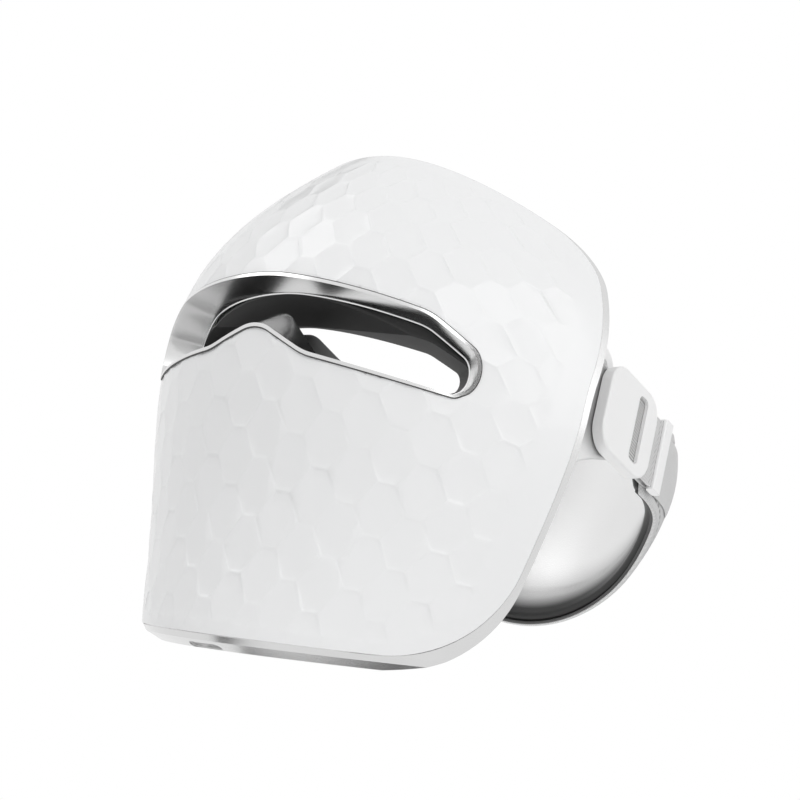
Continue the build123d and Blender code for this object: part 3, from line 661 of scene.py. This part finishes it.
def mirrored_piece(piece, name, body):
    """The same piece on the wearer's right."""
    mesh = piece.data.copy()
    for vertex in mesh.vertices:
        vertex.co.x = -vertex.co.x
    mesh.flip_normals()
    twin = bpy.data.objects.new(name, mesh)
    bpy.context.collection.objects.link(twin)
    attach(twin, body)
    return twin


def both_sides(piece, stem, node, body):
    """Lets a left piece and its mirror image stand for a pair of nodes."""
    twin = mirrored_piece(piece, f"{stem}_right", body)
    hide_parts(f"{node}_left")
    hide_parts(f"{node}_right")


def ribbed_strap(name, path, rib_slant, rib_pitch, body, rib_shade=1.0):
    """Webbing swept along a path of (place, wall), ribbed slantwise on its outer face, with painted shade in
    its rib grooves and its back darker by a fixed share.

    A place turns a distance across the webbing and one out of it into a point.
    """
    half = WEBBING_WIDTH / 2
    count = int(WEBBING_WIDTH / RIB_STEP)
    rings, shades = [], []
    travelled = 0
    for i, (place, wall) in enumerate(path):
        if i:
            travelled += (place(0, 0) - path[i - 1][0](0, 0)).length
        ring, shade = [], []
        for j in range(count + 1):
            across = -half + WEBBING_WIDTH * j / count
            rim = min(1.0, (half - abs(across)) / SELVEDGE)
            thickness = wall * (SELVEDGE_SHARE + (1 - SELVEDGE_SHARE) * quarter_round(rim))
            phase = (across * math.cos(rib_slant) + travelled * math.sin(rib_slant)) / rib_pitch
            groove = (0.5 - 0.5 * math.cos(2 * math.pi * phase)) * rim
            ring.append(place(across, thickness / 2 - RIB_DEPTH * groove))
            # Painted shade in the rib grooves.
            shade.append(rib_shade * groove ** 2)
        for share in BACK_SHARES:
            ring.append(place(half * share, -wall / 2 * (SELVEDGE_SHARE if abs(share) == 1 else 1)))
            shade.append(BACK_SHADE)
        rings.append(ring)
        shades.append(shade)
    return tube_block(rings, "webbing_grey", name, body, shades)


def straight_run(start, end, level, wall, facing=1, step=RIB_STEP):
    """Path steps along the strap at one level, facing out or in."""
    def place_at(along):
        return lambda across, out: strap_point(along, across, level + out * facing)
    count = max(2, int(abs(end - start) / step))
    return [(place_at(start + (end - start) * i / count), wall) for i in range(count + 1)]


def turn_step(degrees):
    """Path step on the bend round the buckle's bar, from the lower run to the upper."""
    turn = math.radians(degrees)
    normal = -STRAP_ALONG * math.cos(turn) + STRAP_OUT * math.sin(turn)
    return (lambda across, out: strap_point(TURN_PLACE, across, TURN_LEVEL) + normal * (TURN_RADIUS + out),
            WEBBING_WALL)


def webbing_turns():
    """Webbing round the buckle's bar, thinned where its other lengths slide along it."""
    upper = UPPER_TOP - SLIDING_WALL / 2
    lower = LOWER_TOP - SLIDING_WALL / 2
    path = straight_run(TURN_START, TURN_BEND, lower, SLIDING_WALL, facing=-1, step=TURN_STEP)
    path += [turn_step(degrees) for degrees in BEND_ANGLES]
    path += straight_run(TURN_UPPER, TURN_END, upper, SLIDING_WALL)
    piece = ribbed_strap("strap_turn_left", path, TURN_SLANT, TURN_PITCH, "harness")
    both_sides(piece, "strap_turn", "webbing_turn", "harness")


def webbing_tails():
    """Free ends of the webbing, from inside the buckles to their end bars."""
    bottom = UPPER_TOP - WEBBING_WALL
    path = straight_run(TAIL_START, TAIL_STEP - TAIL_RAMP, bottom + SLIDING_WALL / 2, SLIDING_WALL)
    path += straight_run(TAIL_STEP, TAIL_END, bottom + WEBBING_WALL / 2, WEBBING_WALL)
    piece = ribbed_strap("strap_tail_left", path, TAIL_SLANT, TAIL_PITCH, "clips", TAIL_RIB_SHADE)
    both_sides(piece, "strap_tail", "webbing_tail", "clips")


# Silver tabs between the rings and the buckles

TAB_FACE, TAB_WALL = -3.35 * mm, 1.8 * mm
TAB_HIGH, TAB_END, TAB_END_LOW = 14.8 * mm, 4 * mm, -13.5 * mm
TAB_FRONT_HIGH, TAB_FRONT_LOW, TAB_LOW = -27.4 * mm, -21.4 * mm, -28.6 * mm
TAB_WAIST, TAB_WAIST_LOW = -12 * mm, -21 * mm
TAB_CURL, CURL_TOP, CURL_DROP = 2.2 * mm, -8 * mm, 20 * mm
TAB_LENGTH, TAB_ROLL = 25 * mm, 1.1 * mm
TAB_STITCH_INSET, TAB_STITCH_WIDTH, TAB_STITCH_DEPTH = 2.6 * mm, 0.35 * mm, 0.22 * mm
# Painted shadow on the tab beside the buckle: its strength, its reach, and where it fades out low down.
TAB_SHADE, SHADE_REACH, SHADE_LOW, SHADE_FADE = 0.7, 7 * mm, -22 * mm, 12 * mm
BUCKLE_HALF_LENGTH, BUCKLE_HALF_HEIGHT, BUCKLE_CORNER = 17.3 * mm, 17 * mm, 9 * mm
TAB_COLUMNS, TAB_ROWS = 48, 60


def arc_through(first, middle, last, share):
    """Point at a share of the way along the parabola through three points."""
    away, near, over = (1 - share) * (1 - 2 * share), 4 * share * (1 - share), share * (2 * share - 1)
    return tuple(away * a + near * b + over * c for a, b, c in zip(first, middle, last))


def buckle_shade(u, v):
    """How much painted shadow darkens the tab beside the buckle, fading out towards its flare."""
    across = max(abs(u) - (BUCKLE_HALF_LENGTH - BUCKLE_CORNER), 0)
    over = max(abs(v) - (BUCKLE_HALF_HEIGHT - BUCKLE_CORNER), 0)
    away = max(0.0, math.hypot(across, over) - BUCKLE_CORNER)
    low = min(1.0, max(0.0, (v - SHADE_LOW) / SHADE_FADE))
    return math.exp(-(away / SHADE_REACH) ** 2) * low


def silver_tabs():
    """Thin grained tabs, flared at the mask, rolled over at the rim and curled in at the flare, with painted
    shadow beside the buckle.
    """
    low, waist, end_low = (TAB_FRONT_LOW, TAB_LOW), (TAB_WAIST, TAB_WAIST_LOW), (TAB_END, TAB_END_LOW)
    rows, shades = {1: [], -1: []}, {1: [], -1: []}
    for i in range(TAB_ROWS + 1):
        rise = i / TAB_ROWS
        for side in rows:
            row, shade = [], []
            for j in range(TAB_COLUMNS + 1):
                share = j / TAB_COLUMNS
                foot = arc_through(low, waist, end_low, share)
                head = (TAB_FRONT_HIGH + (TAB_END - TAB_FRONT_HIGH) * share, TAB_HIGH)
                u = foot[0] + (head[0] - foot[0]) * rise
                v = foot[1] + (head[1] - foot[1]) * rise
                edge = min(rise * (head[1] - foot[1]), (1 - rise) * (head[1] - foot[1]),
                           share * TAB_LENGTH, (1 - share) * TAB_LENGTH)
                roll = quarter_round(min(1.0, edge / TAB_ROLL))
                stitch = bell(edge, TAB_STITCH_INSET, TAB_STITCH_WIDTH) * TAB_STITCH_DEPTH
                curl = TAB_CURL * max(0.0, (CURL_TOP - v) / CURL_DROP) ** 2
                middle = TAB_FACE - TAB_WALL / 2 - curl
                swell = roll * TAB_WALL / 2 - (stitch if side > 0 else 0)
                row.append(strap_point(u, v, middle + side * swell))
                # Painted shadow beside the buckle, on the outer face only.
                shade.append(TAB_SHADE * buckle_shade(u, v) if side > 0 else 0)
            rows[side].append(row)
            shades[side].append(shade)
    rings = [outer + inner[::-1] for outer, inner in zip(rows[1], rows[-1])]
    ring_shades = [outer + inner[::-1] for outer, inner in zip(shades[1], shades[-1])]
    piece = tube_block(rings, "tab_soft", "silver_tab_left", "harness", ring_shades)
    both_sides(piece, "silver_tab", "strap_tab", "harness")


# Cradle behind the head

ARM_START, ARM_END, ARM_CENTRE, ARM_FACE = 20 * mm, 26 * mm, -2 * mm, -3.4 * mm
CRADLE_HALF_DEPTH = 72 * mm
CRADLE_SIDE_HEIGHT = 29 * mm
CRADLE_RISE, CRADLE_DROP, DROP_POWER = 5 * mm, 45.5 * mm, 1.6
CRADLE_ANGLES = (22, 45, 68, 90)
EDGE_INSET, EDGE_BULGE, CRADLE_BOWL = 1.5 * mm, 0.3 * mm, 13 * mm
COVER_WALL, COVER_ROUND, COVER_END, COVER_END_SHARE = 1.8 * mm, 0.85 * mm, 2 * mm, 0.25
COVER_STEPS, COVER_BACK_STEPS, COVER_SECTIONS = 84, 16, 300
COVER_RIM_ANGLES = range(-60, 61, 30)
HEM_INSET, HEM_WIDTH, HEM_DEPTH, HEM_PITCH, HEM_DASH = 4.2 * mm, 0.55 * mm, 0.35 * mm, 4.5 * mm, 0.8
CUSHION_BACK, CUSHION_LIFT = 1.95 * mm, 0.1 * mm
CUSHION_EDGE, CUSHION_CROWN = 2.4 * mm, 6.2 * mm
CUSHION_INSET, CUSHION_ROLL = 2.1 * mm, 2.6 * mm
CUSHION_START, CUSHION_END_ROUND = 1.5 * mm, 5 * mm
CUSHION_STEPS, CUSHION_BACK_STEPS, CUSHION_SECTIONS = 64, 16, 420
SEAM_INSET, SEAM_WIDTH, SEAM_DEPTH = 11 * mm, 0.5 * mm, 0.3 * mm
PUCKER_PITCH, PUCKER_SHARE = 3.2 * mm, 0.2
# Width, rise and power of the painted shade and dark reflection towards the cushion's lower rim.
RIM_SHADE_WIDTH, RIM_SHADE_RISE, RIM_SHADE_POWER = 28 * mm, 1.35, 2.2
PIPING_INSET, PIPING_LEVEL, PIPING_RADIUS = 1.35 * mm, 2.3 * mm, 0.75 * mm
PIPING_START, PIPING_SECTIONS, PIPING_ANGLES = 0.8 * mm, 160, range(0, 360, 36)
SEWN_START, SEWN_BEND, SEWN_GAP, SEWN_LENGTH = 15.5 * mm, 5 * mm, 1 * mm, 34 * mm


def cradle_stations():
    """Side, depth, facing, middle height and height at the stations from the left arm to the right."""
    side = strap_point(ARM_END, ARM_CENTRE, ARM_FACE).x
    stations = []
    for place in (ARM_START, ARM_END):
        point = strap_point(place, ARM_CENTRE, ARM_FACE)
        stations.append((side, point.y, 0, point.z, CRADLE_SIDE_HEIGHT))
    end = stations[-1]
    for angle in CRADLE_ANGLES:
        turn = math.radians(angle)
        facing = math.atan2(end[0] * math.sin(turn), CRADLE_HALF_DEPTH * math.cos(turn))
        rise = CRADLE_RISE * math.sin(turn)
        drop = CRADLE_DROP * math.sin(turn) ** DROP_POWER
        stations.append((end[0] * math.cos(turn), end[1] + CRADLE_HALF_DEPTH * math.sin(turn), facing,
                         end[3] + (rise - drop) / 2, CRADLE_SIDE_HEIGHT + rise + drop))
    right = [(-x, y, math.pi - facing, middle, height) for x, y, facing, middle, height in stations[-2::-1]]
    return stations + right


def cradle_curves():
    """Smooth curves through the stations by the distance round the cradle, and its full length."""
    table = np.array(cradle_stations())
    steps = np.hypot(np.diff(table[:, 0]), np.diff(table[:, 1]))
    along = np.concatenate(([0], np.cumsum(steps)))
    return [natural_spline(along, table[:, i]) for i in range(table.shape[1])], float(along[-1])


CRADLE_CURVES, CRADLE_LENGTH = cradle_curves()


def section_point(x, y, facing, middle, height, end, level):
    """A point of one cross-section: end runs from -1 at the lower edge to 1 at the upper."""
    lean = math.tan(STRAP_TILT) * math.cos(facing) ** 2 * height / 2
    top = -EDGE_BULGE - EDGE_INSET * math.sin(facing) - lean
    bottom = -EDGE_BULGE - (EDGE_INSET + CRADLE_BOWL) * math.sin(facing) + lean
    offset = -level + (top + bottom) / 2 * end ** 2 + (top - bottom) / 2 * end
    return Vector((x + math.cos(facing) * offset, y + math.sin(facing) * offset, middle + end * height / 2))


def cradle_block(name, look, outline, start, end, sections, shade=None):
    """A solid round the cradle whose sections come from an outline function of (distance, height).

    The shade function takes (distance, height) and a point of the outline.
    """
    rings, shades = [], []
    for i in range(sections + 1):
        along = start + (end - start) * i / sections
        station = [float(curve(along)) for curve in CRADLE_CURVES]
        height = station[4]
        points = outline(along, height)
        rings.append([section_point(*station, at, level) for at, level in points])
        if shade:
            shades.append([shade(along, height, at, level) for at, level in points])
    return tube_block(rings, look, name, "cradle", shades)


def end_round(along, start, end, radius):
    """How far a section is filled near the two ends of a rounded piece."""
    near = min(along - start, end - along)
    return quarter_round(min(1.0, max(near, 0) / radius))


def cradle_cover():
    """Woven outer wall of the cradle with rounded rims and a stitched hem inside each rim."""
    middle = COVER_WALL / 2

    def outline(along, height):
        fill = COVER_END_SHARE + (1 - COVER_END_SHARE) * end_round(along, 0, CRADLE_LENGTH, COVER_END)
        margin = 2 * COVER_ROUND / height
        points = []
        for i in range(COVER_STEPS + 1):
            at = (1 - margin) * (2 * i / COVER_STEPS - 1)
            hem = HEM_DEPTH * bell((1 - abs(at)) * height / 2, HEM_INSET, HEM_WIDTH)
            points.append((at, middle + (hem - middle) * fill))
        for sign in (1, -1):
            for degrees in COVER_RIM_ANGLES:
                turn = math.radians(degrees)
                points.append((sign * (1 - margin + margin * math.cos(turn)),
                               middle + sign * middle * math.sin(turn) * fill))
            if sign > 0:
                points += [((1 - margin) * (1 - 2 * i / COVER_BACK_STEPS), middle + middle * fill)
                           for i in range(COVER_BACK_STEPS + 1)]
        return points

    def stitches(along, height, at, level):
        """Thread of the hem's stitches, in dashes on the outer face alone."""
        dash = min(1.0, max(0.0, HEM_DASH + math.cos(2 * math.pi * along / HEM_PITCH)))
        return dash * bell((1 - abs(at)) * height / 2, HEM_INSET, HEM_WIDTH) if level < middle else 0

    piece = cradle_block("cradle_cover", "woven_cover", outline, 0, CRADLE_LENGTH,
                         COVER_SECTIONS, stitches)
    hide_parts("cradle_shell")


def cradle_cushion():
    """Silver cushion, rolled over at its rim, crowned along its middle and sewn along its lower rim, with
    painted shade and dark reflection towards that rim.
    """
    start, end = CUSHION_START, CRADLE_LENGTH - CUSHION_START

    def outline(along, height):
        fill = end_round(along, start, end, CUSHION_END_ROUND)
        margin = 2 * CUSHION_INSET / height
        puckers = 1 - PUCKER_SHARE + PUCKER_SHARE * math.cos(2 * math.pi * along / PUCKER_PITCH)
        points = [((1 - margin) * (2 * i / CUSHION_BACK_STEPS - 1), CUSHION_BACK)
                  for i in range(CUSHION_BACK_STEPS + 1)]
        for i in range(CUSHION_STEPS):
            at = (1 - margin) * math.cos(math.pi * (i + 0.5) / CUSHION_STEPS)
            rim = (1 - margin - abs(at)) * height / 2
            wall = CUSHION_EDGE + (CUSHION_CROWN - CUSHION_EDGE) * (1 - at ** 2)
            roll = quarter_round(min(1.0, rim / CUSHION_ROLL))
            seam = SEAM_DEPTH * puckers * bell(rim, SEAM_INSET, SEAM_WIDTH) if at < 0 else 0
            points.append((at, CUSHION_BACK + CUSHION_LIFT + (wall - seam) * roll * fill))
        return points

    def border(along, height, at, level):
        """Painted shade and dark reflection, deepening towards the lower rim, with none on the back."""
        near = min(1.0, RIM_SHADE_RISE * (1 - min(1.0, (1 + at) * height / 2 / RIM_SHADE_WIDTH)))
        return near ** RIM_SHADE_POWER if level > CUSHION_BACK else 0

    piece = cradle_block("cradle_cushion", "silver_soft", outline, start, end,
                         CUSHION_SECTIONS, border)
    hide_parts("cradle_pad")


def cradle_piping():
    """Dark cords that fill the gap between the cushion and the cover along both rims."""
    for name, sign in (("cradle_piping_upper", 1), ("cradle_piping_lower", -1)):
        def outline(along, height):
            at = sign * (1 - 2 * PIPING_INSET / height)
            return [(at + 2 * PIPING_RADIUS / height * math.cos(math.radians(a)),
                     PIPING_LEVEL + PIPING_RADIUS * math.sin(math.radians(a))) for a in PIPING_ANGLES]
        cradle_block(name, "piping_dark", outline, PIPING_START, CRADLE_LENGTH - PIPING_START,
                     PIPING_SECTIONS)


def sewn_step(along):
    """Path step of the webbing where it lies on the cover, keeping the strap's slant."""
    slant, upright = STRAP_ACROSS.y, STRAP_ACROSS.z
    lift = LOWER_BOTTOM - ARM_FACE + SLIDING_WALL / 2

    def place(across, out):
        values = [float(curve(along + slant * across)) for curve in CRADLE_CURVES]
        height = (upright * (across - ARM_CENTRE)) * 2 / values[4]
        return section_point(*values, height, -lift - out)
    return place, SLIDING_WALL


def sewn_webbing():
    """Lower layers of the webbing, laid on the cradle's arms and sewn down round their bend."""
    path = straight_run(SEWN_START, ARM_END - SEWN_BEND, LOWER_BOTTOM + SLIDING_WALL / 2, SLIDING_WALL)
    start = ARM_END - ARM_START + SEWN_GAP
    steps = int(SEWN_LENGTH / RIB_STEP)
    path += [sewn_step(start + i * RIB_STEP) for i in range(steps + 1)]
    piece = ribbed_strap("strap_lower_left", path, TAIL_SLANT, TAIL_PITCH, "cradle", TAIL_RIB_SHADE)
    both_sides(piece, "strap_lower", "webbing", "cradle")


# Soft pads that rest on the face

PAD_VOXEL, PAD_SOFTENING, PAD_ROUNDS = 1.0 * mm, 0.6, 14


def face_pad_cushion(name):
    """One face pad: the frame's pad with its rims rounded off and its face left softly crowned."""
    pad = bpy.data.objects.new(f"{name}_cushion", nodes[name].data.copy())
    bpy.context.collection.objects.link(pad)
    recalculate(pad)
    remesh = pad.modifiers.new("even", "REMESH")
    remesh.mode = "VOXEL"
    remesh.voxel_size = PAD_VOXEL
    soften = pad.modifiers.new("soften", "SMOOTH")
    soften.factor = PAD_SOFTENING
    soften.iterations = PAD_ROUNDS
    refine = pad.modifiers.new("refine", "SUBSURF")
    refine.levels = refine.render_levels = 1
    settle(pad)
    dress(pad, "pad_silicone")
    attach(pad, "mask")
    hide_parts(name)


# Camera and studio

CAMERA_TARGET = Vector((0, -6.4 * mm, -10 * mm))
CAMERA_RIGHT = Vector((0.775, 0.605, 0.182))
CAMERA_UP = Vector((-0.06, -0.216, 0.974))
CAMERA_DISTANCE = 947 * mm
CAMERA_LENS = 117.0
CAMERA_SHIFT = (0.0596, 0.0505)
CAMERA_NEAR, CAMERA_FAR = 0.05, 20
FLOOR_HEIGHT, FLOOR_SIZE, FLOOR_ROUGHNESS = -300 * mm, 12, 0.9
WORLD_STRENGTH = 0.53
BOARD_BLACK, FLOOR_WHITE = (0.01, 0.01, 0.01, 1), (0.85, 0.85, 0.85, 1)
MIDDLE, CHIN_LIP = (0, 0, 0), (0, -0.066, -0.093)
LAMPS = {
    "key": ((1.7, -0.6, 1.0), MIDDLE, 2.0, 20),
    "fill": ((-1.2, -0.9, 1.5), MIDDLE, 1.4, 10),
    "low": ((-0.02, -0.01, -0.14), (0.05, 0.13, -0.05), 0.1, 0.12),
}
BOARDS = {
    "board_side": ((1.1, -0.66, 0.3), MIDDLE, 0.3, 0.6),
    "board_side_far": ((1.0, -0.2, 0.5), MIDDLE, 0.12, 0.9),
    "board_back": ((-0.8, 0.62, 0.75), MIDDLE, 0.7, 0.16),
    "board_low": ((-0.04, -0.19, -0.29), CHIN_LIP, 0.14, 0.07),
    "board_under": ((-0.08, 0.13, -0.29), (0.02, -0.06, -0.093), 0.16, 0.1),
    "board_behind": ((-0.36, 0.42, 0.0), MIDDLE, 0.16, 0.3),
}


def camera():
    """The photograph's viewpoint, off to the wearer's left and a little below."""
    data = bpy.data.cameras.new("camera")
    data.lens = CAMERA_LENS
    data.shift_x, data.shift_y = CAMERA_SHIFT
    data.clip_start, data.clip_end = CAMERA_NEAR, CAMERA_FAR
    obj = bpy.data.objects.new("camera", data)
    bpy.context.collection.objects.link(obj)
    back = CAMERA_RIGHT.cross(CAMERA_UP).normalized()
    up = back.cross(CAMERA_RIGHT.normalized()).normalized()
    right = up.cross(back).normalized()
    turn = Matrix((right, up, back)).transposed()
    obj.matrix_world = Matrix.Translation(CAMERA_TARGET + back * CAMERA_DISTANCE) @ turn.to_4x4()
    bpy.context.scene.camera = obj


def face_point(obj, place, target):
    """Puts an object at a place, facing a target."""
    obj.location = place
    obj.rotation_euler = (Vector(target) - Vector(place)).to_track_quat("-Z", "Y").to_euler()


def lamp(name, place, target, size, energy):
    """A square soft lamp. The low one, close behind the mask, shows neither itself nor its reflection."""
    data = bpy.data.lights.new(name, "AREA")
    data.size = size
    data.energy = energy
    obj = bpy.data.objects.new(name, data)
    bpy.context.collection.objects.link(obj)
    face_point(obj, place, target)
    obj.visible_camera = obj.visible_glossy = name != "low"


def stage_sheet(name, width, height, paint):
    """A flat rectangle of the stage, painted."""
    mesh = bpy.data.meshes.new(name)
    mesh.from_pydata([(-width / 2, -height / 2, 0), (width / 2, -height / 2, 0),
                      (width / 2, height / 2, 0), (-width / 2, height / 2, 0)], [], [(0, 1, 2, 3)])
    mesh.materials.append(paint)
    sheet = bpy.data.objects.new(name, mesh)
    bpy.context.collection.objects.link(sheet)
    return sheet


def dark_boards():
    """Black boards that only mirrors see, for the dark streaks in the chrome and on the rim."""
    paint = bpy.data.materials.new("board_black")
    paint.use_nodes = True
    paint.node_tree.nodes["Principled BSDF"].inputs["Base Color"].default_value = BOARD_BLACK
    for name, (place, target, width, height) in BOARDS.items():
        board = stage_sheet(name, width, height, paint)
        face_point(board, place, target)
        board.visible_camera = board.visible_diffuse = board.visible_shadow = False
        board.visible_transmission = False


def white_to_the_eye(tree, shader_socket, output_socket, white_node):
    """Shows plain white to the camera, to mirrors and through glass, and the given shader to other rays."""
    rays = tree.nodes.new("ShaderNodeLightPath")
    seen = maths(tree, "MAXIMUM", rays.outputs["Is Camera Ray"], rays.outputs["Is Glossy Ray"])
    seen = maths(tree, "MAXIMUM", seen, rays.outputs["Is Transmission Ray"])
    white = tree.nodes.new(white_node)
    white.inputs["Color"].default_value = (1, 1, 1, 1)
    white.inputs["Strength"].default_value = 1
    mix = tree.nodes.new("ShaderNodeMixShader")
    tree.links.new(seen, mix.inputs["Fac"])
    tree.links.new(shader_socket, mix.inputs[1])
    tree.links.new(white.outputs[0], mix.inputs[2])
    tree.links.new(mix.outputs[0], output_socket)


def white_world():
    """White surroundings that light the mask softly."""
    world = bpy.data.worlds.new("studio")
    bpy.context.scene.world = world
    world.use_nodes = True
    tree = world.node_tree
    base = tree.nodes["Background"]
    base.inputs["Color"].default_value = (1, 1, 1, 1)
    base.inputs["Strength"].default_value = WORLD_STRENGTH
    white_to_the_eye(tree, base.outputs[0], tree.nodes["World Output"].inputs["Surface"],
                     "ShaderNodeBackground")


def pale_floor():
    """A pale floor well below, white to the eye."""
    paint = bpy.data.materials.new("floor_pale")
    paint.use_nodes = True
    tree = paint.node_tree
    shader = tree.nodes["Principled BSDF"]
    shader.inputs["Base Color"].default_value = FLOOR_WHITE
    shader.inputs["Roughness"].default_value = FLOOR_ROUGHNESS
    white_to_the_eye(tree, shader.outputs[0], tree.nodes["Material Output"].inputs["Surface"],
                     "ShaderNodeEmission")
    floor = stage_sheet("floor", FLOOR_SIZE, FLOOR_SIZE, paint)
    floor.location.z = FLOOR_HEIGHT


def studio():
    """Soft lamps, dark boards, white surroundings and a pale floor."""
    bpy.context.scene.view_settings.view_transform = "Standard"
    white_world()
    for name, values in LAMPS.items():
        lamp(name, *values)
    dark_boards()
    pale_floor()


dress_carried()
faceted_shell()
slot_trim()
webbing_turns()
webbing_tails()
sewn_webbing()
silver_tabs()
cradle_cover()
cradle_cushion()
cradle_piping()
for pad_name in ("forehead_pad", "cheek_pad_left", "cheek_pad_right"):
    face_pad_cushion(pad_name)
camera()
studio()
